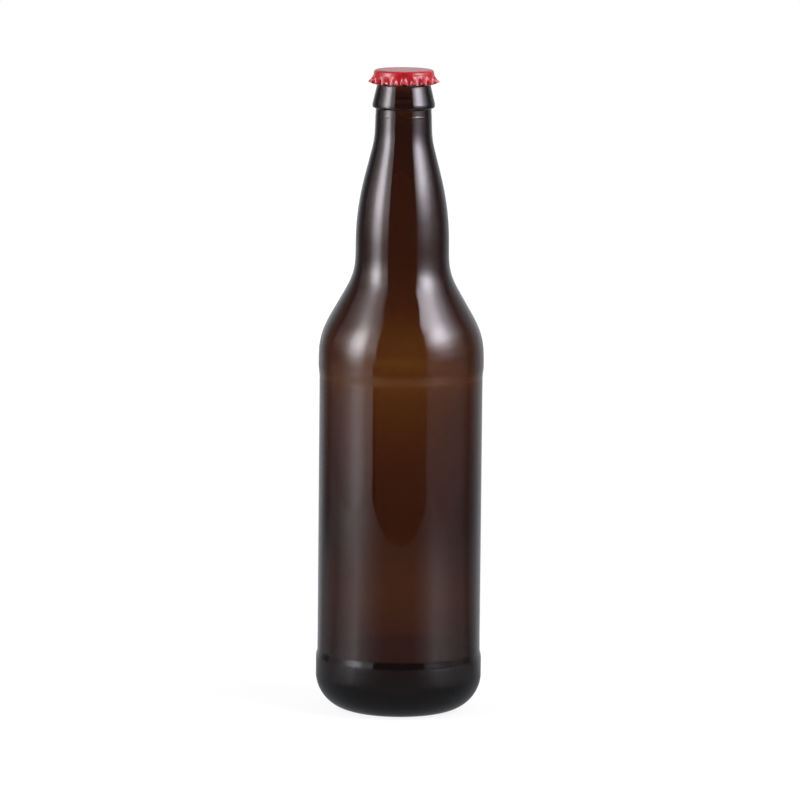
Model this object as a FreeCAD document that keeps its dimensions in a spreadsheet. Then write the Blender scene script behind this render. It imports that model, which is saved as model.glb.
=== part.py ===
import FreeCAD, Part

import math
import os

import Sketcher

# A tall long-necked amber beer bottle, empty, with an uncrimped crown cap lying on its lip.
# Millimetres, +Z up.  The bottle's axis is the Z axis and its bearing ring stands on Z = 0.

SIZES = [
    # overall
    ("glass_height", 290.5, "bearing ring to lip"),
    ("body_diameter", 75.1, "over the heel band, the widest place"),
    # base and heel
    ("bearing_inset", 12.9, "side of the bottle to the outer edge of the bearing ring"),
    ("bearing_width", 3.0, "flat ring that the bottle stands on"),
    ("bearing_round", 2.0, "outer edge of the bearing ring"),
    ("punt_edge_round", 1.5, "inner edge of the bearing ring"),
    ("punt_height", 5.0, "hollow under the base"),
    ("punt_slope_run", 9.0, "sloping rim of that hollow, measured across"),
    ("punt_round", 22.0, "where its slope turns level"),
    ("heel_rise", 3.1, "rise of the heel's lower flank over the bearing inset"),
    ("heel_round", 16.5, "big round of the heel"),
    # bands and label panel
    ("heel_band_top", 24.6, "base to the top of the heel band"),
    ("heel_step_height", 4.6, "slope from the heel band to the panel"),
    ("panel_recess", 0.7, "panel below the heel band"),
    ("shoulder_band_recess", 0.4, "shoulder band below the heel band"),
    ("shoulder_band_height", 14.1, "shoulder band up to the shoulder's corner"),
    ("shoulder_step_height", 4.5, "slope from the panel to the shoulder band"),
    ("band_round", 5.0, "rounds of both steps"),
    # shoulder and neck, set down from the lip
    ("hip_foot_drop", 91.3, "lip to the corner between shoulder and neck hip"),
    ("shoulder_angle", 29.4, "shoulder's slope, degrees from upright"),
    ("shoulder_round", 24.0, "shoulder band into the shoulder"),
    ("hip_foot_round", 24.0, "shoulder into the neck hip"),
    ("hip_diameter", 42.05, "straight lower part of the neck"),
    ("hip_top_drop", 62.4, "lip to the corner between hip and taper"),
    ("hip_top_round", 120.0, "long round of the hip into the taper"),
    ("taper_end_drop", 31.2, "lip to the corner at the taper's upper end"),
    ("taper_end_diameter", 25.9, "over that corner"),
    ("taper_end_round", 38.0, "taper into the upper neck"),
    # crown finish, set down from the lip
    ("upper_neck_diameter", 25.0, "neck just under the bead"),
    ("bead_drop", 17.2, "lip to the underside of the bead"),
    ("bead_diameter", 28.1, "carrying bead of the finish"),
    ("bead_underside_rise", 0.6, "slope of the bead's underside"),
    ("bead_band_height", 2.4, "bead up to the start of the finish cone"),
    ("bead_round", 1.1, "rounds of the bead"),
    ("throat_drop", 6.7, "lip to the narrowest place under the locking ring"),
    ("throat_diameter", 24.1, "narrowest place under the locking ring"),
    ("ring_drop", 4.9, "lip to the lower corner of the locking ring"),
    ("ring_diameter", 26.4, "locking ring that a crimped cap would grip"),
    ("ring_round", 0.8, "rounds of the ring's lower edge and of the throat"),
    ("lip_round", 1.9, "outer round of the lip"),
    ("lip_bore_round", 1.0, "inner round of the lip"),
    # inside
    ("base_thickness", 7.0, "glass over the middle of the punt"),
    ("floor_flat_radius", 8.0, "level middle of the inside floor"),
    ("floor_round", 30.0, "where the floor starts to fall"),
    ("floor_corner_height", 7.5, "base to the corner of floor and wall"),
    ("floor_corner_round", 15.0, "inside round of the heel"),
    ("lower_wall", 3.6, "panel's glass at the bottom"),
    ("upper_wall", 2.8, "glass at the shoulder band"),
    ("shoulder_wall", 2.5, "glass of the shoulder, square to it"),
    ("neck_wall", 3.2, "glass of the neck"),
    ("bore_diameter", 17.2, "mouth"),
    # crown cap
    ("cap_sheet", 0.25, "tinplate"),
    ("cap_clearance", 0.15, "locking ring to the cap's band, all round"),
    ("cap_corner_round", 1.5, "outer round of the plate's edge"),
    ("cap_band_height", 2.0, "plate's top to the start of the flutes"),
    ("cap_height", 6.3, "plate's top to the lowest edge"),
    ("cap_flare", 2.95, "ridges outside the band, at the level of the lowest edge"),
    ("cap_valley_flare", 0.6, "valleys outside the band, at the same level"),
    ("cap_ridge_round", 0.8, "outer round of a ridge at the edge"),
    ("cap_ridge_share", 0.45, "share of the band's circle that turns into ridges"),
    ("cap_edge_rise", 1.0, "rise of the trimmed edge from the valleys to that ridge line"),
    ("cap_flutes", 21, "flutes round the skirt"),
    ("cap_turn", 270, "where the first ridge points, degrees from +X"),
]


CAP_INSIDE = "sizes.ring_diameter / 2 + sizes.cap_clearance"
CAP_OUTSIDE = f"{CAP_INSIDE} + sizes.cap_sheet"
BAND_FOOT = "sizes.cap_sheet - sizes.cap_band_height"
CAP_EDGE = "sizes.cap_sheet - sizes.cap_height"
HALF_PITCH = "180 deg / sizes.cap_flutes"


def make_sheet(doc):
    """The spreadsheet that holds every driving size under its own alias."""
    sheet = doc.addObject("Spreadsheet::Sheet", "sizes")
    for row, (alias, value, note) in enumerate(SIZES, start=1):
        sheet.set(f"A{row}", alias)
        sheet.set(f"B{row}", str(value))
        sheet.set(f"C{row}", note)
        sheet.setAlias(f"B{row}", alias)
    doc.recompute()
    return sheet


def number(obj, expression):
    """The value that an expression has now, as a plain number."""
    value = obj.evalExpression(expression)
    return float(getattr(value, "Value", value))


def new_sketch(body, name, plane_role, height=None):
    """A sketch on one of the body's own origin planes, raised by an expression if given."""
    sketch = body.newObject("Sketcher::SketchObject", name)
    plane = next(f for f in body.Origin.OriginFeatures if f.Role == plane_role)
    sketch.AttachmentSupport = (plane, [""])
    sketch.MapMode = "FlatFace"
    if height:
        sketch.setExpression("AttachmentOffset.Base.z", height)
    return sketch


def bind(sketch, constraint, name, expression):
    """Adds a named constraint whose value follows an expression."""
    index = sketch.addConstraint(constraint)
    sketch.renameConstraint(index, name)
    sketch.setExpression(f"Constraints.{name}", expression)


def draw_outline(sketch, corners):
    """A closed outline of straight runs, each corner either sharp or rounded by a tangent arc.

    A corner is (name, radius from the axis, height, round): expressions, or None for a sharp one.
    Each rounded corner keeps its sharp point, which carries the two distances.
    """
    origin = (-1, 1)
    count = len(corners)
    place = [
        FreeCAD.Vector(number(sketch, across), number(sketch, height), 0)
        for _, across, height, _ in corners
    ]
    rounds = [number(sketch, corner[3]) if corner[3] else 0.0 for corner in corners]

    # where each run meets its corners' arcs
    arrive, leave, centres = [], [], []
    for i, (point, radius) in enumerate(zip(place, rounds)):
        back = (place[i - 1] - point).normalize()
        ahead = (place[(i + 1) % count] - point).normalize()
        half = back.getAngle(ahead) / 2
        reach = radius / math.tan(half)
        arrive.append(point + back * reach)
        leave.append(point + ahead * reach)
        centres.append(point + (back + ahead).normalize() * (radius / math.sin(half)))

    lines = [
        sketch.addGeometry(Part.LineSegment(leave[i], arrive[(i + 1) % count]), False)
        for i in range(count)
    ]
    for i, (name, across, height, rounding) in enumerate(corners):
        before, after = lines[i - 1], lines[i]
        if rounding:
            spokes = [arrive[i] - centres[i], leave[i] - centres[i]]
            turns_left = spokes[0].cross(spokes[1]).z > 0
            angles = [math.atan2(spoke.y, spoke.x) for spoke in spokes]
            start, end = angles if turns_left else reversed(angles)
            circle = Part.Circle(centres[i], FreeCAD.Vector(0, 0, 1), rounds[i])
            curve = sketch.addGeometry(Part.ArcOfCircle(circle, start, end), False)
            first, last = (1, 2) if turns_left else (2, 1)
            sketch.addConstraint(Sketcher.Constraint("Tangent", before, 2, curve, first))
            sketch.addConstraint(Sketcher.Constraint("Tangent", curve, last, after, 1))
            corner = sketch.addGeometry(Part.Point(place[i]), True)
            sketch.addConstraint(Sketcher.Constraint("PointOnObject", corner, 1, before))
            sketch.addConstraint(Sketcher.Constraint("PointOnObject", corner, 1, after))
            spot = (corner, 1)
            limit = Sketcher.Constraint("Radius", curve, rounds[i])
            bind(sketch, limit, f"{name}_round", rounding)
        else:
            sketch.addConstraint(Sketcher.Constraint("Coincident", before, 2, after, 1))
            spot = (after, 1)
        for axis, way, value in (("DistanceX", "across", across), ("DistanceY", "height", height)):
            if value == "0":
                line = -2 if axis == "DistanceX" else -1
                sketch.addConstraint(Sketcher.Constraint("PointOnObject", *spot, line))
            else:
                start = place[i].x if axis == "DistanceX" else place[i].y
                distance = Sketcher.Constraint(axis, *origin, *spot, start)
                bind(sketch, distance, f"{name}_{way}", value)


def turn(body, kind, name, sketch):
    """A full Revolution or Groove of a sketch about its upright axis."""
    feature = body.newObject(kind, name)
    feature.Profile = sketch
    feature.ReferenceAxis = (sketch, ["V_Axis"])
    feature.Angle = 360
    return feature


def inner_corner(height, level_wall, slope_wall, slope):
    """Height of an inside corner from the outside one's, between an upright and a sloping wall.

    slope is the sloping wall's run across for each millimetre up.
    """
    across = f"{slope_wall} * sqrt(1 + ({slope})^2)"
    return f"{height} + ({level_wall} - {across}) / ({slope})"


def make_bottle(doc):
    """The glass: one revolved outside, one revolved cavity, and a rounded mouth."""
    body = doc.addObject("PartDesign::Body", "bottle")
    body.Label = "bottle"

    side = "sizes.body_diameter / 2"
    panel = "sizes.body_diameter / 2 - sizes.panel_recess"
    shoulder_band = "sizes.body_diameter / 2 - sizes.shoulder_band_recess"
    bearing = "sizes.body_diameter / 2 - sizes.bearing_inset"
    punt = f"{bearing} - sizes.bearing_width"
    hip = "sizes.hip_diameter / 2"
    hip_foot = "sizes.glass_height - sizes.hip_foot_drop"
    hip_top = "sizes.glass_height - sizes.hip_top_drop"
    taper_end = "sizes.glass_height - sizes.taper_end_drop"
    shoulder_corner = (
        f"{hip_foot} - ({shoulder_band} - {hip}) / tan(sizes.shoulder_angle * 1 deg)"
    )
    band_foot = f"{shoulder_corner} - sizes.shoulder_band_height"
    bead = "sizes.glass_height - sizes.bead_drop"

    outside = new_sketch(body, "outside_outline", "XZ_Plane")
    draw_outline(outside, [
        ("punt_middle", "0", "sizes.punt_height", None),
        ("punt_shelf", f"{punt} - sizes.punt_slope_run", "sizes.punt_height", "sizes.punt_round"),
        ("punt_edge", punt, "0", "sizes.punt_edge_round"),
        ("bearing_edge", bearing, "0", "sizes.bearing_round"),
        ("heel", side, "sizes.heel_rise", "sizes.heel_round"),
        ("heel_band", side, "sizes.heel_band_top", "sizes.band_round"),
        ("panel_foot", panel, "sizes.heel_band_top + sizes.heel_step_height", "sizes.band_round"),
        ("panel_top", panel, f"{band_foot} - sizes.shoulder_step_height", "sizes.band_round"),
        ("shoulder_band", shoulder_band, band_foot, "sizes.band_round"),
        ("shoulder", shoulder_band, shoulder_corner, "sizes.shoulder_round"),
        ("hip_foot", hip, hip_foot, "sizes.hip_foot_round"),
        ("hip_top", hip, hip_top, "sizes.hip_top_round"),
        ("taper_end", "sizes.taper_end_diameter / 2", taper_end, "sizes.taper_end_round"),
        ("bead_root", "sizes.upper_neck_diameter / 2", bead, None),
        ("bead_low", "sizes.bead_diameter / 2", f"{bead} + sizes.bead_underside_rise",
         "sizes.bead_round"),
        ("bead_high", "sizes.bead_diameter / 2",
         f"{bead} + sizes.bead_underside_rise + sizes.bead_band_height", "sizes.bead_round"),
        ("throat", "sizes.throat_diameter / 2", "sizes.glass_height - sizes.throat_drop",
         "sizes.ring_round"),
        ("ring_low", "sizes.ring_diameter / 2", "sizes.glass_height - sizes.ring_drop",
         "sizes.ring_round"),
        ("lip", "sizes.ring_diameter / 2", "sizes.glass_height", "sizes.lip_round"),
        ("lip_middle", "0", "sizes.glass_height", None),
    ])
    turn(body, "PartDesign::Revolution", "outside", outside)
    doc.recompute()
    solid_volume = body.Shape.Volume

    # the inner faces of shoulder and taper are parallel to the outer ones, so their corners
    # slide along the wall they end at
    shoulder_slope = "tan(sizes.shoulder_angle * 1 deg)"
    taper_slope = (
        "(sizes.hip_diameter - sizes.taper_end_diameter) / 2"
        " / (sizes.hip_top_drop - sizes.taper_end_drop)"
    )
    neck_inside = f"{hip} - sizes.neck_wall"
    shoulder_inside = inner_corner(shoulder_corner, "sizes.upper_wall", "sizes.shoulder_wall",
                                   shoulder_slope)
    hip_foot_inside = inner_corner(hip_foot, "sizes.neck_wall", "sizes.shoulder_wall",
                                   shoulder_slope)
    hip_top_inside = inner_corner(hip_top, "sizes.neck_wall", "sizes.neck_wall", taper_slope)
    taper_inside = inner_corner(taper_end, "sizes.neck_wall", "sizes.neck_wall", taper_slope)

    cavity = new_sketch(body, "cavity_outline", "XZ_Plane")
    draw_outline(cavity, [
        ("floor_middle", "0", "sizes.punt_height + sizes.base_thickness", None),
        ("floor_shelf", "sizes.floor_flat_radius", "sizes.punt_height + sizes.base_thickness",
         "sizes.floor_round"),
        ("floor_corner", f"{panel} - sizes.lower_wall", "sizes.floor_corner_height",
         "sizes.floor_corner_round"),
        ("shoulder_in", f"{shoulder_band} - sizes.upper_wall", shoulder_inside,
         "sizes.shoulder_round - sizes.shoulder_wall"),
        ("hip_foot_in", neck_inside, hip_foot_inside, "sizes.hip_foot_round + sizes.shoulder_wall"),
        ("hip_top_in", neck_inside, hip_top_inside, "sizes.hip_top_round - sizes.neck_wall"),
        ("taper_in", "sizes.taper_end_diameter / 2 - sizes.neck_wall", taper_inside,
         "sizes.taper_end_round + sizes.neck_wall"),
        ("mouth", "sizes.bore_diameter / 2", "sizes.glass_height", None),
        ("mouth_middle", "0", "sizes.glass_height", None),
    ])
    turn(body, "PartDesign::Groove", "cavity", cavity)
    doc.recompute()
    if body.Shape.Volume > 0.5 * solid_volume:
        raise RuntimeError("the cavity was not cut")

    mouth_radius = number(body, "sizes.bore_diameter / 2")
    mouth_height = number(body, "sizes.glass_height")
    base = body.Tip
    mouth_edge = next(
        f"Edge{i}"
        for i, edge in enumerate(base.Shape.Edges, start=1)
        if isinstance(edge.Curve, Part.Circle)
        and abs(edge.Curve.Radius - mouth_radius) < 1e-6
        and abs(edge.Curve.Center.z - mouth_height) < 1e-6
    )
    mouth = body.newObject("PartDesign::Fillet", "mouth_round")
    mouth.Base = (base, [mouth_edge])
    mouth.setExpression("Radius", "sizes.lip_bore_round")
    return body


def draw_plate(sketch):
    """Half section of the cap's plate and straight band, with both rounds of its edge."""
    draw_outline(sketch, [
        ("seat_middle", "0", "0", None),
        ("seat_edge", CAP_INSIDE, "0", "sizes.cap_corner_round - sizes.cap_sheet"),
        ("band_foot_inside", CAP_INSIDE, BAND_FOOT, None),
        ("band_foot_outside", CAP_OUTSIDE, BAND_FOOT, None),
        ("top_edge", CAP_OUTSIDE, "sizes.cap_sheet", "sizes.cap_corner_round"),
        ("top_middle", "0", "sizes.cap_sheet", None),
    ])


def add_arc(sketch, centre, radius, start, end):
    """A counter-clockwise arc between two angles, given in either order."""
    circle = Part.Circle(centre, FreeCAD.Vector(0, 0, 1), radius)
    start, end = sorted((start, end))
    return sketch.addGeometry(Part.ArcOfCircle(circle, start, end), False)


def close_sector(sketch, outer, inner, end):
    """The straight side of a flute's sector, from the outer sheet face to the inner one."""
    points = [sketch.getPoint(arc, end) for arc in (outer, inner)]
    side = sketch.addGeometry(Part.LineSegment(*points), False)
    sketch.addConstraint(Sketcher.Constraint("Coincident", side, 1, outer, end))
    sketch.addConstraint(Sketcher.Constraint("Coincident", side, 2, inner, end))
    return side


def bind_place(sketch, name, spot, expressions):
    """Ties a point's distances across and up from the origin to expressions."""
    for axis, expression in expressions.items():
        distance = Sketcher.Constraint(axis, -1, 1, *spot, number(sketch, expression))
        bind(sketch, distance, f"{name}_{axis[-1].lower()}", expression)


def draw_band_sector(sketch):
    """One flute's share of the straight band: both faces, each split where the ridge will be."""
    half_pitch = math.radians(number(sketch, HALF_PITCH))
    split = number(sketch, "sizes.cap_ridge_share") * half_pitch
    sides = {1: [], -1: []}
    for face, radius in (("outer", CAP_OUTSIDE), ("inner", CAP_INSIDE)):
        size = number(sketch, radius)
        middle = add_arc(sketch, FreeCAD.Vector(), size, -split, split)
        sketch.addConstraint(Sketcher.Constraint("Coincident", middle, 3, -1, 1))
        bind(sketch, Sketcher.Constraint("Radius", middle, size), f"{face}_radius", radius)
        for hand, near, far, name in ((1, 1, 2, "left"), (-1, 2, 1, "right")):
            arc = add_arc(sketch, FreeCAD.Vector(), size, hand * split, hand * half_pitch)
            sketch.addConstraint(Sketcher.Constraint("Coincident", arc, 3, -1, 1))
            sketch.addConstraint(Sketcher.Constraint("Coincident", arc, near, middle, far))
            share = f"sizes.cap_ridge_share * {HALF_PITCH}"
            height = f"{hand} * ({radius}) * sin({share})"
            bind_place(sketch, f"{face}_{name}_split", (arc, near), {"DistanceY": height})
            height = f"{hand} * ({radius}) * sin({HALF_PITCH})"
            bind_place(sketch, f"{face}_{name}_side", (arc, far), {"DistanceY": height})
            sides[hand].append((arc, far))
    for (outer, end), (inner, _) in sides.values():
        close_sector(sketch, outer, inner, end)


def draw_edge_sector(sketch):
    """One flute at the skirt's lower edge: half a valley, a ridge and half a valley.

    The ridge is a convex arc about a point inside the skirt, each half valley a hollow arc
    about a point outside it.  They are tangent, and that sets the valley's radius.
    """
    half_pitch = math.radians(number(sketch, HALF_PITCH))
    sheet = number(sketch, "sizes.cap_sheet")
    crest = number(sketch, "sizes.cap_ridge_round")
    tip = f"{CAP_OUTSIDE} + sizes.cap_flare"
    foot = f"{CAP_OUTSIDE} + sizes.cap_valley_flare"
    ridge_centre = number(sketch, tip) - crest
    valley = number(sketch, foot)

    # the cosine rule in the triangle of axis, ridge centre and valley centre gives the hollow
    reach = ridge_centre * math.cos(half_pitch)
    hollow = crest**2 - valley**2 - ridge_centre**2 + 2 * valley * reach
    hollow /= 2 * (valley - reach - crest)
    out = valley + hollow
    to_valley = math.atan2(
        out * math.sin(half_pitch), out * math.cos(half_pitch) - ridge_centre
    )

    faces = []
    for face, inset in (("outer", 0), ("inner", sheet)):
        middle = add_arc(
            sketch, FreeCAD.Vector(ridge_centre, 0, 0), crest - inset, -to_valley, to_valley
        )
        ends = {}
        for hand, far in ((1, 2), (-1, 1)):
            centre = FreeCAD.Vector(out * math.cos(half_pitch), hand * out * math.sin(half_pitch), 0)
            touch, side = hand * (to_valley + math.pi), hand * (half_pitch + math.pi)
            arc = add_arc(sketch, centre, hollow + inset, touch, side)
            near, away = (1, 2) if touch < side else (2, 1)
            sketch.addConstraint(Sketcher.Constraint("Tangent", middle, far, arc, near))
            ends[hand] = (arc, away)
        faces.append((middle, ends))

    (outer, outer_ends), (inner, inner_ends) = faces
    sketch.addConstraint(Sketcher.Constraint("PointOnObject", outer, 3, -1))
    bind_place(sketch, "ridge_centre", (outer, 3), {"DistanceX": f"{tip} - sizes.cap_ridge_round"})
    bind(sketch, Sketcher.Constraint("Radius", outer, crest), "ridge", "sizes.cap_ridge_round")
    sketch.addConstraint(Sketcher.Constraint("Coincident", inner, 3, outer, 3))
    bind(sketch, Sketcher.Constraint("Radius", inner, crest - sheet), "ridge_inside",
         "sizes.cap_ridge_round - sizes.cap_sheet")
    for hand, name in ((1, "left"), (-1, "right")):
        outer_arc, end = outer_ends[hand]
        inner_arc, _ = inner_ends[hand]
        side = close_sector(sketch, outer_arc, inner_arc, end)
        sketch.addConstraint(Sketcher.Constraint("PointOnObject", outer_arc, 3, side))
        sketch.addConstraint(Sketcher.Constraint("PointOnObject", -1, 1, side))
        sketch.addConstraint(Sketcher.Constraint("Coincident", inner_arc, 3, outer_arc, 3))
        bind_place(sketch, f"valley_{name}", (outer_arc, end), {
            "DistanceX": f"({foot}) * cos({HALF_PITCH})",
            "DistanceY": f"{hand} * ({foot}) * sin({HALF_PITCH})",
        })


def draw_edge_trim(sketch):
    """Section of the cone that trims the edge, so that the ridges end above the valleys."""
    slope = "sizes.cap_edge_rise / (sizes.cap_flare - sizes.cap_valley_flare)"
    far = f"{CAP_OUTSIDE} + 2 * sizes.cap_flare"
    draw_outline(sketch, [
        ("near_low", CAP_INSIDE, f"{CAP_EDGE} - sizes.cap_height", None),
        ("far_low", far, f"{CAP_EDGE} - sizes.cap_height", None),
        ("far_edge", far,
         f"{CAP_EDGE} + (2 * sizes.cap_flare - sizes.cap_valley_flare) * {slope}", None),
        ("near_edge", CAP_INSIDE,
         f"{CAP_EDGE} - (sizes.cap_valley_flare + sizes.cap_sheet) * {slope}", None),
    ])


def make_crown_cap(doc):
    """The tinplate cap: a revolved plate and band, one flute lofted and repeated, then trimmed."""
    body = doc.addObject("PartDesign::Body", "crown_cap")
    body.Label = "crown_cap"

    plate = new_sketch(body, "plate_outline", "XZ_Plane")
    draw_plate(plate)
    turn(body, "PartDesign::Revolution", "plate", plate)

    flute_head = new_sketch(body, "flute_head", "XY_Plane", BAND_FOOT)
    draw_band_sector(flute_head)
    flute_edge = new_sketch(body, "flute_edge", "XY_Plane", CAP_EDGE)
    draw_edge_sector(flute_edge)
    flute = body.newObject("PartDesign::AdditiveLoft", "flute")
    flute.Profile = flute_head
    flute.Sections = [flute_edge]
    flute.Ruled = True
    doc.recompute()

    flutes = body.newObject("PartDesign::PolarPattern", "flutes")
    flutes.Originals = [flute]
    axis = next(f for f in body.Origin.OriginFeatures if f.Role == "Z_Axis")
    flutes.Axis = (axis, [""])
    flutes.Angle = 360
    flutes.setExpression("Occurrences", "sizes.cap_flutes")
    body.Tip = flutes
    doc.recompute()
    untrimmed = body.Shape.Volume

    trim = new_sketch(body, "edge_trim", "XZ_Plane")
    draw_edge_trim(trim)
    turn(body, "PartDesign::Groove", "edge", trim)
    doc.recompute()
    if not body.Shape.Volume < untrimmed:
        raise RuntimeError("the cap's edge was not trimmed")

    # the plate's underside lies on the lip
    body.Placement.Rotation = FreeCAD.Rotation(FreeCAD.Vector(0, 0, 1), 1)
    body.setExpression("Placement.Rotation.Angle", "sizes.cap_turn * 1 deg")
    body.setExpression("Placement.Base.z", "sizes.glass_height")
    return body


def check(doc, bodies):
    """Stops if any object of the document failed or a sub-part is not one valid solid."""
    failed = [o.Name for o in doc.Objects if {"Invalid", "Error"} & set(o.State)]
    if failed:
        raise RuntimeError(f"objects that failed: {failed}")
    for body in bodies:
        shape = body.Shape
        if shape.isNull() or not shape.isValid() or len(shape.Solids) != 1:
            raise RuntimeError(f"{body.Label} is not one valid solid")


doc = FreeCAD.newDocument("beer_bottle")
make_sheet(doc)
bodies = [make_bottle(doc), make_crown_cap(doc)]
doc.recompute()
check(doc, bodies)

os.makedirs("parts", exist_ok=True)
for body in bodies:
    body.Shape.exportStep(os.path.join("parts", f"{body.Label}.step"))
    size = body.Shape.BoundBox
    print(body.Label, round(body.Shape.Volume), "mm3,", round(size.ZMin, 2), "to", round(size.ZMax, 2))
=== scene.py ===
import math

import bpy
import numpy as np
from mathutils import Matrix, Vector


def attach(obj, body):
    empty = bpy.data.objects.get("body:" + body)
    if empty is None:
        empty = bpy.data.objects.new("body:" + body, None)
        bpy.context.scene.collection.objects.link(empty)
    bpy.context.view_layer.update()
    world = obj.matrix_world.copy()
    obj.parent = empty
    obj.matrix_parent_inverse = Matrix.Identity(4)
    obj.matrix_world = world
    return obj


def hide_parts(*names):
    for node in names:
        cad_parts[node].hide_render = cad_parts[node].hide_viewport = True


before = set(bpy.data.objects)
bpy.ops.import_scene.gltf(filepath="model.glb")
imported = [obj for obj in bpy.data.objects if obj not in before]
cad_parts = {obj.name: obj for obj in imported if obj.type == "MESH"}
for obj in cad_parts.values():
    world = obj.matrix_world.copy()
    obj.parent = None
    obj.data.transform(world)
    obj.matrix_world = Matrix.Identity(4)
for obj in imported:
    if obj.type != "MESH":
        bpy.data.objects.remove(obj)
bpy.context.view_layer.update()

# ---------------------------------------------------------------------------
# The bottle
# Pressed-and-blown amber glass in one piece: a thick pushed-up base, thin
# walls with a recessed label panel, and a crown finish at the top of the neck.
# The inner wall is blown freely, so it is slightly uneven.
# ---------------------------------------------------------------------------

# corners of the half section in millimetres: radius, height, round of the corner
OUTSIDE = [
    (0.0, 5.0, 0.0),         # middle of the push-up
    (12.65, 5.0, 22.0),
    (21.65, 0.0, 1.5),       # bearing ring, inner edge
    (24.65, 0.0, 2.0),       # bearing ring, outer edge
    (37.55, 3.1, 16.5),      # heel
    (37.55, 24.0, 3.0),      # heel band, top
    (36.85, 26.9, 3.0),      # label panel, foot
    (36.8, 151.98, 4.0),     # label panel, top
    (37.3, 156.48, 4.0),     # shoulder band, foot
    (37.3, 170.9, 32.0),     # shoulder
    (21.025, 199.2, 24.0),   # shoulder meets neck
    (21.025, 228.1, 120.0),  # neck starts to taper
    (12.95, 259.3, 38.0),    # taper ends
    (12.5, 273.3, 0.35),     # underside of the bead
    (14.05, 273.8, 1.0),     # bead
    (14.05, 275.4, 1.0),
    (12.05, 283.8, 0.8),     # throat
    (13.2, 285.6, 0.8),      # locking ring
    (13.2, 290.5, 1.9),      # lip
]
INSIDE = [
    (8.6, 290.5, 1.0),       # mouth
    (9.8, 284.0, 8.0),
    (9.85, 276.0, 10.0),
    (9.2, 268.5, 20.0),
    (9.55, 258.9, 40.0),
    (17.95, 228.0, 115.0),
    (17.85, 199.0, 26.5),
    (34.95, 170.0, 24.0),
    (34.95, 153.0, 12.0),
    (34.52, 146.0, 20.0),
    (34.2, 122.7, 150.0),
    (33.75, 84.0, 90.0),
    (34.2, 50.0, 60.0),
    (33.75, 32.0, 30.0),
    (33.9, 6.5, 9.0),        # inside corner of the heel
    (8.0, 12.0, 30.0),
    (0.0, 12.0, 0.0),        # middle of the floor
]
MM = 0.001            # in metres
AROUND = 180          # facets round the bottle
ALONG = 2.6           # most between two points of the profile, mm
TURNING = 4.0         # most that the profile turns between two points, degrees
EASE = 3.0            # width of the bell curve that softens the profile, mm
# where the glass was free to soften: height, and how much of the softening it got
SOFTENED = [(27, 0), (36, 1), (147, 1), (151, 0), (157.5, 0), (161, 1), (250, 1), (260, 0)]
UNEVEN = 0.07         # how far the blown inner wall wanders, mm
# where it does: height, and how much of that it gets
BLOWN = [(14, 0), (34, 1), (232, 1), (262, 0)]
# the slow waves it wanders in: mm of height for a radian, waves round, phase, share
WAVES = [(17.0, 2, 1.1, 1.0), (9.5, -3, 0.0, 0.7), (5.3, 5, 2.0, 0.5)]
PARTING_AT = 270.1    # height of the neck-ring parting line above the table, mm
PARTING = 0.11        # how far that line stands out, mm
PARTING_HALF = 0.22   # its half width, mm
PARTING_NEAR = 0.7    # how far from it the profile's points lie closer, mm
PARTING_ALONG = 0.15  # most between two points there, mm
SEAM = 0.05           # height of the two mould seams, mm
SEAM_HALF = 0.55      # their half width, mm
SEAM_FOOT = 2.5       # height that they start at, mm


def rounded(corners, bend, stride):
    """Points along a polyline whose corners are rounded: each corner gives way to an arc that is
    tangent to both runs, with a point every `bend` degrees, and each straight run between arcs
    has a point at least every `stride` millimetres."""
    spots = np.array([c[:2] for c in corners], float)
    arcs = [spots[:1]]
    for before, spot, after, (_, _, radius) in zip(spots, spots[1:], spots[2:], corners[1:]):
        if radius == 0:
            arcs.append(spot[None])
            continue
        back = (before - spot) / np.linalg.norm(before - spot)
        ahead = (after - spot) / np.linalg.norm(after - spot)
        half = math.acos(np.clip(back @ ahead, -1, 1)) / 2
        middle = spot + (back + ahead) / np.linalg.norm(back + ahead) * radius / math.sin(half)
        first = spot + back * radius / math.tan(half) - middle
        last = spot + ahead * radius / math.tan(half) - middle
        sweep = math.atan2(first[0] * last[1] - first[1] * last[0], first @ last)
        turn = np.linspace(0, sweep, max(3, round(abs(math.degrees(sweep)) / bend) + 1))[:, None]
        side = np.array([-first[1], first[0]])
        arcs.append(middle + first * np.cos(turn) + side * np.sin(turn))
    arcs.append(spots[-1:])
    line = [arcs[0]]
    for arc in arcs[1:]:
        gap = arc[0] - line[-1][-1]
        steps = max(1, math.ceil(np.linalg.norm(gap) / stride))
        line.append(line[-1][-1] + gap * np.linspace(0, 1, steps + 1)[1:-1, None])
        line.append(arc)
    return np.concatenate(line)


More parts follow.
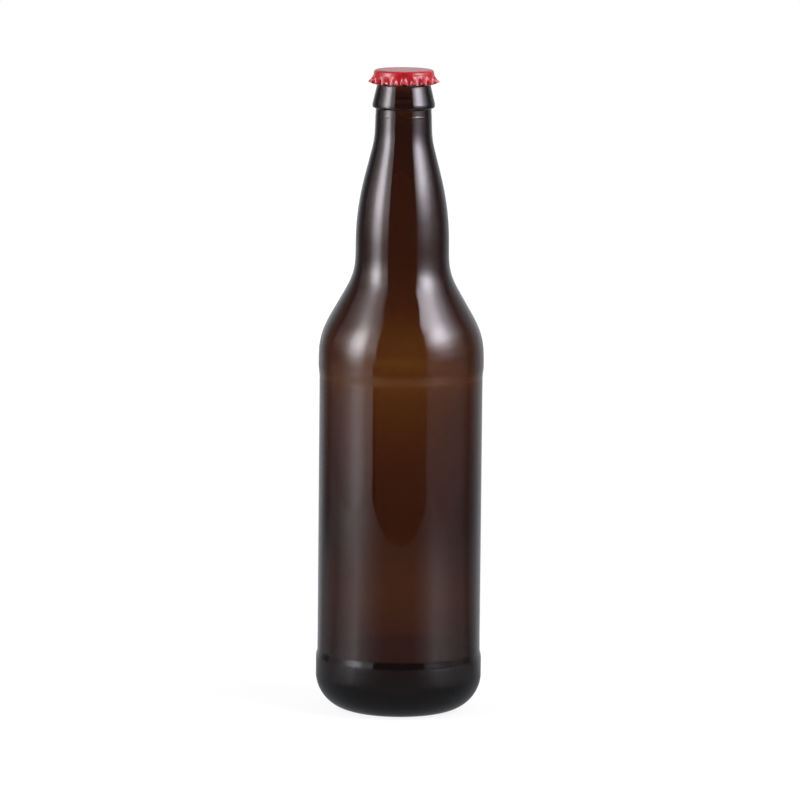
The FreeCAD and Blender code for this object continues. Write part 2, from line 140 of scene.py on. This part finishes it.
def eased(line):
    """The same line as the glass settled: walked in small steps, each point is drawn to the mean
    of its neighbours under a bell curve, by a share that depends on its height.  Few of the
    points are then kept, closer together where the line bends and at the parting line."""
    step = 0.1
    reach = round(3 * EASE / step)
    along = np.concatenate([[0], np.cumsum(np.hypot(*np.diff(line, axis=0).T))])
    even = np.arange(0, along[-1], step)
    walk = np.stack([np.interp(even, along, line[:, axis]) for axis in (0, 1)], axis=-1)
    bell = np.exp(-(np.arange(-reach, reach + 1) * step / EASE) ** 2 / 2)
    wide = np.pad(walk, ((reach, reach), (0, 0)), "reflect", reflect_type="odd")
    mean = np.stack([np.convolve(wide[:, axis], bell / bell.sum(), "valid") for axis in (0, 1)],
                    axis=-1)
    walk += np.interp(walk[:, 1], *zip(*SOFTENED))[:, None] * (mean - walk)

    strides = np.diff(walk, axis=0)
    heading = np.unwrap(np.arctan2(strides[:, 1], strides[:, 0]))
    turn = np.degrees(np.abs(np.diff(heading, prepend=heading[0])))
    near = np.abs(walk[1:, 1] - PARTING_AT) < PARTING_NEAR
    dense = 1 / ALONG + near / PARTING_ALONG
    spent = np.concatenate([[0], np.cumsum(np.hypot(*strides.T) * dense + turn / TURNING)])
    kept = np.linspace(0, spent[-1], math.ceil(spent[-1]) + 1)
    return np.stack([np.interp(kept, spent, walk[:, axis]) for axis in (0, 1)], axis=-1)


def ringed(name, radius, height, angle):
    """A closed skin from two arrays of rows x columns, radius and height, one row for each point
    of the profile and one column for each angle: x = r cos a, y = r sin a.  The first and the
    last row lie on the axis and become single poles."""
    rows, columns = radius.shape
    skin = np.stack([radius * np.cos(angle), radius * np.sin(angle), height], axis=-1)
    points = np.concatenate([skin[0, :1], skin[1:-1].reshape(-1, 3), skin[-1, :1]]) * MM
    ring = 1 + np.arange((rows - 2) * columns).reshape(rows - 2, columns)
    near, far = ring[:-1], ring[1:]
    quads = np.stack([near, np.roll(near, -1, 1), np.roll(far, -1, 1), far], axis=-1).reshape(-1, 4)
    last = len(points) - 1
    start = np.stack([np.zeros(columns, int), np.roll(ring[0], -1), ring[0]], axis=-1)
    end = np.stack([np.full(columns, last), ring[-1], np.roll(ring[-1], -1)], axis=-1)
    mesh = bpy.data.meshes.new(name)
    mesh.from_pydata(points.tolist(), [], start.tolist() + quads.tolist() + end.tolist())
    mesh.shade_smooth()
    piece = bpy.data.objects.new(name, mesh)
    bpy.context.scene.collection.objects.link(piece)
    return piece


def bottle_skin():
    """The whole glass as one profile turned about Z: out from the push-up, up the outside, over
    the lip and down the inside.  The inner wall wanders by a sum of slow sines of height and
    angle; the parting line and the seams are narrow bell curves added to the outside."""
    profile = eased(rounded(OUTSIDE + INSIDE, bend=1.0, stride=0.5))
    radius, height = profile[:, :1], profile[:, 1:]
    angle = np.linspace(0, 2 * np.pi, AROUND, endpoint=False)[None]
    inner = np.arange(len(profile))[:, None] > np.argmax(height)

    wander = sum(share * np.sin(height / pitch + around * angle + phase)
                 for pitch, around, phase, share in WAVES) / sum(wave[-1] for wave in WAVES)
    blown = inner * np.interp(height, *zip(*BLOWN)) * wander
    across = np.abs(np.sin(angle)) * radius
    seamed = (height > SEAM_FOOT) * (height < PARTING_AT) * ~inner
    seam = np.exp(-(across / SEAM_HALF) ** 2) * seamed
    parting = np.exp(-((height - PARTING_AT) / PARTING_HALF) ** 2) * ~inner
    radius = radius + UNEVEN * blown + SEAM * seam + PARTING * parting

    # neither stands out past the widest glass, which has the object's full width
    radius = np.minimum(radius, max(corner[0] for corner in OUTSIDE))
    radius[[0, -1]] = 0
    return ringed("amber_bottle", radius, height + 0 * angle, angle)


bottle = bottle_skin()
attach(bottle, "root")
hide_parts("bottle")


def set_or_link(tree, port, value):
    """Gives an input its value, which is a plain value or the output of another node."""
    if isinstance(value, bpy.types.NodeSocket):
        tree.links.new(value, port)
    else:
        port.default_value = value


def maths(tree, operation, *values):
    """What a maths node makes of its values, each a number or an output."""
    node = tree.nodes.new("ShaderNodeMath")
    node.operation = operation
    for port, value in zip(node.inputs, values):
        set_or_link(tree, port, value)
    return node.outputs[0]


def stretched(tree, value, first, last, low=0.0, high=1.0):
    """low where the value is below first, high where it is above last, straight between."""
    node = tree.nodes.new("ShaderNodeMapRange")
    tree.links.new(value, node.inputs["Value"])
    for name, end in (("From Min", first), ("From Max", last), ("To Min", low), ("To Max", high)):
        set_or_link(tree, node.inputs[name], end)
    return node.outputs["Result"]


def noise(tree, scale, detail):
    """Noise from 0 to 1 that is fixed to the object; the scale is in waves for each metre."""
    where = tree.nodes.new("ShaderNodeTexCoord")
    node = tree.nodes.new("ShaderNodeTexNoise")
    tree.links.new(where.outputs["Object"], node.inputs["Vector"])
    set_or_link(tree, node.inputs["Scale"], scale)
    node.inputs["Detail"].default_value = detail
    return node.outputs["Fac"]


def new_group(name, inputs, output):
    """A node group with number inputs and one number output: the group, and its end nodes."""
    group = bpy.data.node_groups.new(name, "ShaderNodeTree")
    for label in inputs:
        group.interface.new_socket(label, in_out="INPUT", socket_type="NodeSocketFloat")
    group.interface.new_socket(output, in_out="OUTPUT", socket_type="NodeSocketFloat")
    return group, group.nodes.new("NodeGroupInput").outputs, group.nodes.new("NodeGroupOutput")


def placed(tree, group, values):
    """A group set into a material with its own values, and what it puts out."""
    node = tree.nodes.new("ShaderNodeGroup")
    node.node_tree = group
    for name, value in values.items():
        node.inputs[name].default_value = value
    return node.outputs[0]


def handling():
    """A shared effect: handling leaves a surface duller in some places than in others."""
    group, given, result = new_group(
        "handling", ("Scale", "Clean below", "Dull above", "Clean", "Dull"), "Roughness")
    marks = noise(group, given["Scale"], detail=4)
    dull = stretched(group, marks, given["Clean below"], given["Dull above"],
                     given["Clean"], given["Dull"])
    group.links.new(dull, result.inputs["Roughness"])
    return group


def orange_peel():
    """A shared effect: slow waves with a fine peel on top, as a height for a bump."""
    group, given, result = new_group(
        "orange_peel", ("Wave scale", "Wave height", "Peel scale", "Peel height"), "Height")
    wave = noise(group, given["Wave scale"], detail=0)
    peel = noise(group, given["Peel scale"], detail=2)
    both = maths(group, "MULTIPLY_ADD", peel, given["Peel height"],
                 maths(group, "MULTIPLY", wave, given["Wave height"]))
    group.links.new(both, result.inputs["Height"])
    return group


def bumped(tree, height, strength, distance):
    """The normal of a surface with this height."""
    node = tree.nodes.new("ShaderNodeBump")
    node.inputs["Strength"].default_value = strength
    node.inputs["Distance"].default_value = distance
    tree.links.new(height, node.inputs["Height"])
    return node.outputs["Normal"]


HANDLING = handling()
ORANGE_PEEL = orange_peel()


def amber_glass():
    """Brown bottle glass: clear at the surface, colour from what it absorbs on the way through."""
    material = bpy.data.materials.new("amber_glass")
    material.use_nodes = True
    tree = material.node_tree
    shader = tree.nodes["Principled BSDF"]
    shader.inputs["Base Color"].default_value = (1, 1, 1, 1)
    shader.inputs["Transmission Weight"].default_value = 1
    shader.inputs["IOR"].default_value = 1.52
    body = tree.nodes.new("ShaderNodeVolumeAbsorption")
    body.inputs["Color"].default_value = (0.596, 0.396, 0.0, 1)
    body.inputs["Density"].default_value = 1400
    tree.links.new(body.outputs["Volume"], tree.nodes["Material Output"].inputs["Volume"])

    dull = placed(tree, HANDLING, {"Scale": 45, "Clean below": 0.45, "Dull above": 0.75,
                                   "Clean": 0.0, "Dull": 0.03})
    tree.links.new(dull, shader.inputs["Roughness"])
    # the mould leaves slow waves and a faint peel
    relief = placed(tree, ORANGE_PEEL, {"Wave scale": 55, "Wave height": 1.0,
                                        "Peel scale": 260, "Peel height": 0.05})
    normal = bumped(tree, relief, strength=0.1, distance=0.0004)
    tree.links.new(normal, shader.inputs["Normal"])
    return material


bottle.data.materials.append(amber_glass())

# ---------------------------------------------------------------------------
# The crown cap
# Thin tinplate pressed into a plate, a straight band and 21 flared flutes, red
# lacquer outside.  It is not crimped: its plate just lies on the lip.
# ---------------------------------------------------------------------------

FLUTES = 21
FLUTE_FACETS = 24    # facets round each flute
SKIRT_ROWS = 16      # rows of facets down the flutes
LIP = 290.5          # height that the plate's underside lies at, mm
SHEET = 0.25         # tinplate
BAND = 13.6          # outer radius of the straight band
PLATE_ROUND = 1.5    # outer round of the plate's edge
BAND_FOOT = 2.0      # plate's top down to the start of the flutes
CAP_HEIGHT = 6.3     # plate's top down to the lowest edge
VALLEY_FLARE = 0.6   # valleys outside the band, at the edge
RIDGE_FLARE = 2.62   # ridges outside the band, at the edge
RIDGE_CURVE = 1.25   # how late the ridges flare on their way down; 1 is a straight slope
RIDGE_CREST = 1.9    # how narrow the ridges are; 1 is as wide as the valleys
EDGE_RISE = 1.0      # how much higher the edge is on the ridges


def cap_skin():
    """Plate and band are a turned profile.  Below the band the skirt flares: at a share s of its
    height, radius = band + valley * s + (ridge - valley) * w * s ** curve, and it has dropped by
    height * s - rise * w * s ** 3, where w, which is ((1 + cos n a) / 2) ** crest, is 1 on the
    ridges and 0 in the valleys.  The inside is the same surface moved in by the sheet's
    thickness."""
    angle = np.linspace(0, 2 * np.pi, FLUTES * FLUTE_FACETS, endpoint=False)[None]
    ridge = ((1 + np.cos(FLUTES * (angle + np.pi / 2))) / 2) ** RIDGE_CREST

    top, foot = LIP + SHEET, LIP + SHEET - BAND_FOOT
    outer = rounded([(0, top, 0), (BAND, top, PLATE_ROUND), (BAND, foot, 0)],
                    bend=7.5, stride=1.3)
    inner = rounded([(0, LIP, 0), (BAND - SHEET, LIP, PLATE_ROUND - SHEET),
                     (BAND - SHEET, foot, 0)], bend=7.5, stride=1.3)

    down = np.arange(1, SKIRT_ROWS + 1)[:, None] / SKIRT_ROWS
    drop = (CAP_HEIGHT - BAND_FOOT) * down - EDGE_RISE * ridge * down ** 3
    flare = VALLEY_FLARE * down + (RIDGE_FLARE - VALLEY_FLARE) * ridge * down ** RIDGE_CURVE
    skirt_r, skirt_z = BAND + flare, foot - drop

    flat = np.ones_like(angle)
    radius = np.concatenate([outer[:, :1] * flat, skirt_r, skirt_r[::-1] - SHEET,
                             inner[::-1, :1] * flat])
    height = np.concatenate([outer[:, 1:] * flat, skirt_z, skirt_z[::-1], inner[::-1, 1:] * flat])
    # the profile runs from the middle of the top outwards and down, so it is turned the other way
    piece = ringed("red_crown_cap", radius[::-1], height[::-1], angle)

    def store(name, rows):
        """Keeps one value for each point, from rows in the order of the profile."""
        rows = rows[::-1]
        values = np.concatenate([rows[0, :1], rows[1:-1].ravel(), rows[-1, :1]])
        piece.data.attributes.new(name, "FLOAT", "POINT").data.foreach_set("value", values)

    # the sheet is lacquered outside only: bare is 0 there, 1 on the cut edge and the inside
    inside = np.arange(len(radius))[:, None] >= len(radius) / 2
    store("bare", inside * flat)
    # this is 1 at the foot of each ridge and falls off up the skirt and into the valleys
    ridge_foot = np.zeros_like(radius)
    ridge_foot[len(outer):len(outer) + SKIRT_ROWS] = ridge * down ** 4
    store("ridge_foot", ridge_foot)
    return piece


cap = cap_skin()
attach(cap, "root")
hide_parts("crown_cap")


def mixed(tree, kind, share, first, second):
    """first, going over to second by the share; each of the two is a value or an output."""
    node = tree.nodes.new("ShaderNodeMix")
    node.data_type = kind
    tree.links.new(share, node.inputs["Factor"])
    ends = [port for port in node.inputs if port.enabled and port.name in ("A", "B")]
    for port, end in zip(ends, (first, second)):
        set_or_link(tree, port, end)
    return next(port for port in node.outputs if port.enabled)


def red_lacquer():
    """Glossy red lacquer baked on tinplate; the cut edge and the inside are bare tin."""
    material = bpy.data.materials.new("red_lacquer")
    material.use_nodes = True
    tree = material.node_tree
    shader = tree.nodes["Principled BSDF"]
    shader.inputs["Specular IOR Level"].default_value = 0.35
    shader.inputs["Coat Roughness"].default_value = 0.08

    def attribute(name):
        node = tree.nodes.new("ShaderNodeAttribute")
        node.attribute_name = name
        return node.outputs["Fac"]

    # the lacquer is a little thinner and lighter in patches, and a lighter red in specks at the
    # foot of the ridges
    patches = stretched(tree, noise(tree, scale=140, detail=3), 0.35, 0.65)
    lacquer = mixed(tree, "RGBA", patches, (0.31, 0.007, 0.012, 1), (0.38, 0.011, 0.017, 1))
    specks = stretched(tree, noise(tree, scale=900, detail=4), 0.5, 0.62)
    foot_flecks = stretched(tree, maths(tree, "MULTIPLY", attribute("ridge_foot"), specks), 0.0, 1.6)
    flecked = mixed(tree, "RGBA", foot_flecks, lacquer, (0.6, 0.12, 0.12, 1))
    tin = mixed(tree, "RGBA", noise(tree, scale=300, detail=5),
                (0.52, 0.51, 0.49, 1), (0.66, 0.65, 0.62, 1))
    dull = placed(tree, HANDLING, {"Scale": 220, "Clean below": 0.35, "Dull above": 0.7,
                                   "Clean": 0.22, "Dull": 0.34})
    relief = placed(tree, ORANGE_PEEL, {"Wave scale": 0, "Wave height": 0.0,
                                        "Peel scale": 1000, "Peel height": 1.0})

    bare = stretched(tree, attribute("bare"), 0.2, 0.8)
    for name, value in (("Base Color", mixed(tree, "RGBA", bare, flecked, tin)),
                        ("Metallic", bare),
                        ("Roughness", mixed(tree, "FLOAT", bare, dull, 0.36)),
                        ("Coat Weight", mixed(tree, "FLOAT", bare, 0.32, 0.0)),
                        ("Normal", bumped(tree, relief, strength=0.1, distance=0.00004))):
        tree.links.new(value, shader.inputs[name])
    return material


cap.data.materials.append(red_lacquer())

# ---------------------------------------------------------------------------
# Camera, light and floor
# A white studio: a room that is white behind and dark in front, two big soft
# boxes left and right, and a white table whose edge is close in front.
# ---------------------------------------------------------------------------

scene = bpy.context.scene
scene.view_settings.view_transform = "Standard"

lens = bpy.data.cameras.new("camera")
lens.lens = 255.9
lens.sensor_width = 36
camera = bpy.data.objects.new("camera", lens)
scene.collection.objects.link(camera)
stand = Vector((0.0, -2.5435, 0.5118))
aim = Vector((-0.0004, 0.0, 0.1410))
roll = math.radians(0.55)
camera.matrix_world = (
    Matrix.Translation(stand)
    @ (aim - stand).to_track_quat("-Z", "Y").to_matrix().to_4x4()
    @ Matrix.Rotation(roll, 4, "Z")
)
scene.camera = camera


def ramp(tree, value, stops):
    """The grey level at a value: straight between (value, level) stops."""
    node = tree.nodes.new("ShaderNodeValToRGB")
    for _ in stops[2:]:
        node.color_ramp.elements.new(1.0)
    for element, (place, level) in zip(node.color_ramp.elements, stops):
        element.position, element.color = place, (level, level, level, 1)
    tree.links.new(value, node.inputs["Fac"])
    return node.outputs["Color"]


def flat_sheet(name, corners, material):
    """One flat face through four corners, with one material, linked into the scene."""
    mesh = bpy.data.meshes.new(name)
    mesh.from_pydata(corners, [], [(0, 1, 2, 3)])
    mesh.materials.append(material)
    sheet = bpy.data.objects.new(name, mesh)
    scene.collection.objects.link(sheet)
    return sheet


BOX_WIDE, BOX_TALL = 0.96, 1.1  # size of a soft box, m
BOX_AWAY = 0.6                  # from the bottle, m
BOX_MIDDLE = 0.45               # height of its middle, m
BOX_TURN = 73.5                 # round the bottle from straight ahead, degrees
BOARD_BEHIND = 0.0003           # from a soft box to the board behind it, m


def soft_box(name, side, tint, *curves):
    """An area light on one side of the bottle.  Its brightness is the sum of several patterns.
    Each is a peak, times one curve across the box, from its front edge backwards, times one
    curve from its foot upwards."""
    light = bpy.data.lights.new(name, "AREA")
    light.shape = "RECTANGLE"
    light.size, light.size_y = BOX_WIDE, BOX_TALL
    light.energy = math.pi * BOX_WIDE * BOX_TALL
    light.color = tint
    box = bpy.data.objects.new(name, light)
    scene.collection.objects.link(box)
    turn = math.radians(BOX_TURN) * side
    centre = Vector((BOX_AWAY * math.sin(turn), -BOX_AWAY * math.cos(turn), BOX_MIDDLE))
    facing = (Vector((0, 0, BOX_MIDDLE)) - centre).to_track_quat("-Z", "Y").to_matrix().to_4x4()
    box.matrix_world = Matrix.Translation(centre) @ facing
    box.visible_camera = False
    box.visible_transmission = False

    light.use_nodes = True
    tree = light.node_tree
    face = tree.nodes.new("ShaderNodeNewGeometry")
    split = tree.nodes.new("ShaderNodeSeparateXYZ")
    tree.links.new(face.outputs["Parametric"], split.inputs[0])
    total = 0.0
    for peak, across, up in curves:
        if side < 0:
            across = [(1 - place, level) for place, level in reversed(across)]
        sideways = maths(tree, "MULTIPLY", ramp(tree, split.outputs["X"], across), peak)
        upwards = ramp(tree, split.outputs["Y"], up)
        total = maths(tree, "MULTIPLY_ADD", sideways, upwards, total)
    tree.links.new(total, tree.nodes["Emission"].inputs["Strength"])

    # a lamp lets light through, so a dull board behind it hides the room in reflections
    black = bpy.data.materials.new(name + "_black")
    black.use_nodes = True
    shader = black.node_tree.nodes["Principled BSDF"]
    shader.inputs["Base Color"].default_value = (0, 0, 0, 1)
    shader.inputs["Specular IOR Level"].default_value = 0
    corners = [box.matrix_world @ Vector((x * BOX_WIDE / 2, y * BOX_TALL / 2, BOARD_BEHIND))
               for x, y in ((-1, -1), (1, -1), (1, 1), (-1, 1))]
    board = flat_sheet(name + "_back", corners, black)
    board.visible_camera = False
    board.visible_transmission = False
    board.visible_diffuse = False
    board.visible_shadow = False


soft_box(
    "left_box", -1, (1.0, 0.97, 1.02),
    # the bright patch in its middle
    (12.0,
     [(0.0, 0.15), (0.05, 0.16), (0.12, 0.19), (0.2, 0.25), (0.24, 0.36), (0.3, 0.75),
      (0.35, 0.98), (0.4, 1.0), (0.46, 0.87), (0.52, 0.62), (0.58, 0.31), (0.66, 0.15),
      (0.75, 0.08), (0.85, 0.05), (1.0, 0.03)],
     [(0.0, 0.0), (0.17, 0.02), (0.19, 0.14), (0.23, 0.34), (0.27, 0.57), (0.31, 0.68),
      (0.36, 0.9), (0.4, 1.0), (0.48, 0.98), (0.53, 0.92), (0.58, 0.72), (0.64, 0.45),
      (0.7, 0.25), (0.76, 0.12), (0.82, 0.03), (1.0, 0.03)]),
    # its foot
    (2.05,
     [(0.0, 0.0), (0.055, 0.02), (0.075, 0.42), (0.1, 0.47), (0.21, 0.54), (0.27, 0.77),
      (0.33, 0.97), (0.4, 1.0), (0.46, 0.8), (0.52, 0.57), (0.58, 0.44), (0.66, 0.31),
      (0.75, 0.22), (0.85, 0.17), (1.0, 0.12)],
     [(0.0, 0.62), (0.08, 0.72), (0.11, 0.94), (0.13, 1.0), (0.15, 1.0), (0.19, 0.5),
      (0.24, 0.0)]),
    # its top
    (1.9,
     [(0.0, 0.4), (0.1, 0.65), (0.2, 1.0), (0.45, 1.0), (0.7, 0.5), (1.0, 0.2)],
     [(0.0, 0.0), (0.56, 0.0), (0.68, 1.0), (0.8, 0.9), (1.0, 0.5)]))
soft_box(
    "right_box", 1, (1.01, 0.98, 1.08),
    # the bright patch from its middle upwards
    (14.0,
     [(0.0, 0.04), (0.05, 0.16), (0.1, 0.28), (0.15, 0.42), (0.21, 0.66), (0.27, 0.84),
      (0.33, 1.0), (0.39, 0.97), (0.45, 0.87), (0.52, 0.64), (0.58, 0.39), (0.66, 0.24),
      (0.75, 0.12), (0.85, 0.05), (1.0, 0.02)],
     [(0.0, 0.0), (0.2, 0.0), (0.23, 0.035), (0.27, 0.08), (0.32, 0.13), (0.36, 0.27),
      (0.4, 0.4), (0.44, 0.57), (0.48, 0.82), (0.54, 0.96), (0.6, 1.03), (0.66, 0.98),
      (0.71, 0.82), (0.77, 0.66), (0.83, 0.53), (1.0, 0.5)]),
    # its foot
    (0.42,
     [(0.0, 0.3), (0.015, 0.3), (0.03, 0.8), (0.1, 0.95), (0.27, 1.0), (0.66, 0.9),
      (0.75, 0.7), (0.85, 0.45), (1.0, 0.2)],
     [(0.0, 1.0), (0.3, 1.0), (0.4, 0.0)]),
    # a narrow strip at its top
    (2.8,
     [(0.0, 0.2), (0.02, 0.4), (0.06, 0.9), (0.1, 1.0), (0.16, 1.0), (0.26, 0.6), (0.4, 0.0)],
     [(0.0, 0.0), (0.7, 0.0), (0.82, 1.0), (1.0, 1.0)]))


def turned(tree, direction, stops):
    """A grey level that depends on the heading of a direction, seen from above: degrees from
    straight ahead of the bottle, negative to the left, and the level there."""
    split = tree.nodes.new("ShaderNodeSeparateXYZ")
    tree.links.new(direction, split.inputs[0])
    ahead = maths(tree, "MULTIPLY", split.outputs["Y"], -1)
    heading = maths(tree, "ARCTAN2", split.outputs["X"], ahead)
    share = stretched(tree, heading, -math.pi, math.pi)
    return ramp(tree, share, [((degrees + 180) / 360, level) for degrees, level in stops])


def ray_kinds(tree):
    """Two masks: seen is 1 for what the camera sees, also through the glass, and reflected is 1
    for what is mirrored.  A refracted ray counts as glossy too, so it is taken off again."""
    path = tree.nodes.new("ShaderNodeLightPath")
    refracted = path.outputs["Is Transmission Ray"]
    seen = maths(tree, "MAXIMUM", path.outputs["Is Camera Ray"], refracted)
    reflected = maths(tree, "SUBTRACT", path.outputs["Is Glossy Ray"], refracted)
    return seen, reflected


def white_room():
    """The world: white where it is seen, dark in front and lighter behind in reflections."""
    world = bpy.data.worlds.new("studio")
    world.use_nodes = True
    tree = world.node_tree
    tree.nodes.clear()
    seen, reflected = ray_kinds(tree)
    where = tree.nodes.new("ShaderNodeTexCoord").outputs["Generated"]
    room = turned(tree, where, [
        (-180, 0.6), (-156, 0.6), (-144, 0.42), (-132, 0.2), (-119, 0.12), (-108, 0.3),
        (-90, 0.3), (-40, 0.13), (-20, 0.095), (20, 0.095), (40, 0.13), (90, 0.3), (100, 0.3),
        (110, 0.15), (120, 0.18), (132, 0.35), (144, 0.5), (156, 0.6), (180, 0.6)])
    # matt surfaces get more from behind, so that the back isn't in the dark
    split = tree.nodes.new("ShaderNodeSeparateXYZ")
    tree.links.new(where, split.inputs[0])
    fill = maths(tree, "MULTIPLY_ADD", split.outputs["Y"], 0.5, 0.38)
    level = mixed(tree, "FLOAT", reflected, fill, room)
    sky = tree.nodes.new("ShaderNodeBackground")
    tree.links.new(mixed(tree, "RGBA", reflected, (1, 1, 1, 1), (0.98, 1.0, 1.07, 1)),
                   sky.inputs["Color"])
    tree.links.new(maths(tree, "MAXIMUM", seen, level), sky.inputs["Strength"])
    output = tree.nodes.new("ShaderNodeOutputWorld")
    tree.links.new(sky.outputs[0], output.inputs["Surface"])
    return world


scene.world = white_room()

TABLE_FRONT, TABLE_BACK, TABLE_SIDE = -0.505, 2.6, 1.2  # the table's edges, m


def white_table():
    """A matt white top that glows where it is seen, and mirrors dimly in gloss.  From below it is
    clear, so that views from there show the base."""
    material = bpy.data.materials.new("white_table")
    material.use_nodes = True
    tree = material.node_tree
    tree.nodes.clear()
    seen, reflected = ray_kinds(tree)
    where = tree.nodes.new("ShaderNodeTexCoord").outputs["Object"]
    distance = tree.nodes.new("ShaderNodeVectorMath")
    distance.operation = "LENGTH"
    tree.links.new(where, distance.inputs[0])

    def outwards(first, last, near=0.0, far=1.0):
        """A level that goes from near to far between two distances from the bottle, in metres."""
        return stretched(tree, distance.outputs["Value"], first, last, near, far)

    def shaders(kind, first, second):
        """Two shaders put together by a node of this kind."""
        node = tree.nodes.new(kind)
        for port, part in zip(node.inputs[-2:], (first, second)):
            tree.links.new(part.outputs[0], port)
        return node

    matt = tree.nodes.new("ShaderNodeBsdfDiffuse")
    matt.inputs["Color"].default_value = (0.15, 0.15, 0.15, 1)
    glow = tree.nodes.new("ShaderNodeEmission")
    tree.links.new(maths(tree, "MULTIPLY", seen, outwards(0.4, 1.1, 0.86, 1.0)),
                   glow.inputs["Strength"])

    # in gloss it is dim close by and in front, brighter below the soft boxes and behind; the
    # first curve holds up to 0.4 m from the bottle, the second from 0.58 m outwards
    mid = turned(tree, where, [
        (-180, 0.52), (-156, 0.5), (-144, 0.45), (-132, 0.3), (-120, 0.3), (-108, 0.3),
        (-96, 0.28), (-84, 0.58), (-72, 0.92), (-60, 1.35), (-50, 0.8), (-36, 0.42),
        (-20, 0.22), (0, 0.2), (20, 0.22), (36, 0.5), (48, 0.95), (60, 0.85), (72, 0.6),
        (84, 0.42), (96, 0.33), (108, 0.15), (120, 0.27), (132, 0.4), (144, 0.48), (180, 0.52)])
    rim = turned(tree, where, [
        (-180, 0.5), (-144, 0.48), (-132, 0.25), (-120, 0.12), (-108, 0.3), (-96, 0.4),
        (-84, 0.8), (-72, 1.4), (-60, 1.5), (-50, 1.0), (-36, 0.45), (-20, 0.2), (0, 0.2),
        (20, 0.2), (36, 0.35), (48, 0.5), (60, 0.45), (84, 0.36), (96, 0.25), (108, 0.12),
        (120, 0.2), (132, 0.35), (144, 0.45), (180, 0.5)])
    far = mixed(tree, "FLOAT", outwards(0.4, 0.58), mid, rim)
    gloss = mixed(tree, "FLOAT", outwards(0.07, 0.18), 0.25, far)
    mirrored = tree.nodes.new("ShaderNodeEmission")
    mirrored.inputs["Color"].default_value = (0.98, 1.0, 1.06, 1)
    tree.links.new(gloss, mirrored.inputs["Strength"])

    top = shaders("ShaderNodeMixShader", shaders("ShaderNodeAddShader", matt, glow), mirrored)
    tree.links.new(reflected, top.inputs["Fac"])
    face = tree.nodes.new("ShaderNodeNewGeometry")
    pick = shaders("ShaderNodeMixShader", top, tree.nodes.new("ShaderNodeBsdfTransparent"))
    tree.links.new(face.outputs["Backfacing"], pick.inputs["Fac"])
    output = tree.nodes.new("ShaderNodeOutputMaterial")
    tree.links.new(pick.outputs[0], output.inputs["Surface"])
    return material


flat_sheet("table", [(-TABLE_SIDE, TABLE_FRONT, 0), (TABLE_SIDE, TABLE_FRONT, 0),
                     (TABLE_SIDE, TABLE_BACK, 0), (-TABLE_SIDE, TABLE_BACK, 0)], white_table())
